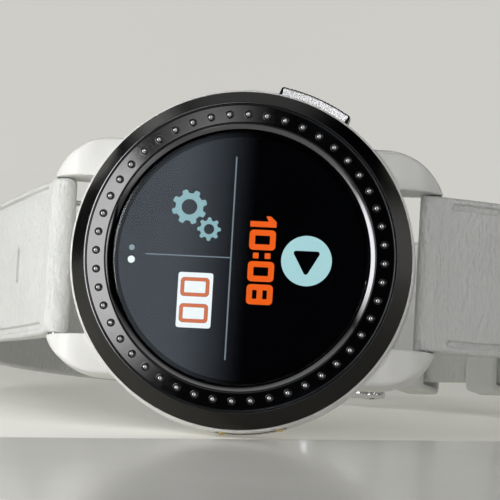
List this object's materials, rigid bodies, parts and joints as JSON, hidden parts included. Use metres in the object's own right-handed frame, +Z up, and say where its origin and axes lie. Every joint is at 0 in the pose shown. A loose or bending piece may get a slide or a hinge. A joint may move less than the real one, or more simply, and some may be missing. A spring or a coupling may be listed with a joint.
{
  "type": "golf gps watch",
  "caption": "Round sports watch on its side: white lugged case, black studded bezel, flat glass over a lit screen, side button, and an open white silicone strap with a pin buckle.",
  "frame": {"origin": "on the table, under the middle of the bounding box", "axes": "+X towards 12 o'clock, -Y the side the face looks to, +Z up; the face leans back by 10.7 degrees"},
  "size_m": [0.0866, 0.0788, 0.0441],
  "materials": {
    "white_plastic": "satin white moulding",
    "dark_steel": "satin charcoal coating",
    "gloss_black": "piano black, with domed studs",
    "polished_steel": "polished",
    "cover_glass": "clear, flat",
    "screen": "lit screen behind the glass",
    "black_rubber": "matte",
    "gold_plate": "gold plated",
    "black_plastic": "matte",
    "board_green": "solder mask",
    "ceramic": "ceramic block",
    "battery_foil": "foil pouch",
    "white_silicone": "soft white, finely wrinkled like leather"
  },
  "bodies": {
    "case": {"case_body": "white_plastic", "bezel_ring": "dark_steel", "bezel_insert": "gloss_black", "inner_bezel": "polished_steel", "lens": "cover_glass", "lens_gasket": "black_rubber", "touch_panel": "screen", "display_module": "screen", "display_flex": "gold_plate", "inner_frame": "black_plastic", "circuit_board": "board_green", "gps_antenna": "ceramic", "rf_shield": "polished_steel", "battery": "battery_foil", "vibration_motor": "polished_steel", "tact_switch": "black_plastic", "button_spring": "polished_steel", "case_back": "polished_steel", "case_back_gasket": "black_rubber", "case_screw_1": "polished_steel", "case_screw_2": "polished_steel", "case_screw_3": "polished_steel", "case_screw_4": "polished_steel", "contact_block": "black_plastic", "charge_contact_1": "gold_plate", "charge_contact_2": "gold_plate", "charge_contact_3": "gold_plate", "charge_contact_4": "gold_plate"},
    "button": {"button_cap": "polished_steel", "button_stem": "polished_steel", "button_seal": "black_rubber", "button_clip": "polished_steel"},
    "strap_short": {"strap_short": "white_silicone", "bar_tube_short": "polished_steel", "pin_spring_short": "polished_steel", "keeper_fixed": "white_silicone", "buckle_bar": "polished_steel"},
    "release_pin_short": {"release_pin_short": "polished_steel"},
    "strap_long": {"strap_long": "white_silicone", "bar_tube_long": "polished_steel", "pin_spring_long": "polished_steel"},
    "release_pin_long": {"release_pin_long": "polished_steel"},
    "buckle": {"buckle_frame": "polished_steel"},
    "tongue": {"buckle_tongue": "polished_steel"},
    "keeper": {"keeper_free": "white_silicone"}
  },
  "joints": [
    {"name": "strap_short_hinge", "type": "hinge", "parent": "case", "child": "strap_short", "pos_m": [0.02128, -0.02788, 0.02119], "axis": [0, 0.1857, 0.9826], "range_deg": [-8, 30]},
    {"name": "strap_long_hinge", "type": "hinge", "parent": "case", "child": "strap_long", "pos_m": [-0.02592, -0.02788, 0.02119], "axis": [0, 0.1857, 0.9826], "range_deg": [-6, 60]},
    {"name": "buckle_hinge", "type": "hinge", "parent": "strap_short", "child": "buckle", "pos_m": [0.01329, 0.01821, 0.01248], "axis": [0, 0.1857, 0.9826], "range_deg": [-30, 60]},
    {"name": "tongue_hinge", "type": "hinge", "parent": "buckle", "child": "tongue", "pos_m": [0.01329, 0.01821, 0.01248], "axis": [0, 0.1857, 0.9826], "range_deg": [-70, 0]},
    {"name": "keeper_slide", "type": "hinge", "parent": "strap_short", "child": "keeper", "pos_m": [0.02178, -0.00626, 0.0171], "axis": [0, 0.1857, 0.9826], "range_deg": [-70, 0]},
    {"name": "button_press", "type": "slide", "parent": "case", "child": "button", "axis": [-0.3665, -0.1727, -0.9142], "range_m": [0, 0.0006], "stiffness_N_per_m": 1200, "springref_m": -0.0006, "deforming": ["button_spring"]},
    {"name": "pin_release_short", "type": "slide", "parent": "strap_short", "child": "release_pin_short", "axis": [0, 0.1857, 0.9826], "range_m": [0, 0.0012], "stiffness_N_per_m": 500, "springref_m": -0.0008, "deforming": ["pin_spring_short"]},
    {"name": "pin_release_long", "type": "slide", "parent": "strap_long", "child": "release_pin_long", "axis": [0, -0.1857, -0.9826], "range_m": [0, 0.0012], "stiffness_N_per_m": 500, "springref_m": -0.0008, "deforming": ["pin_spring_long"]}
  ]
}
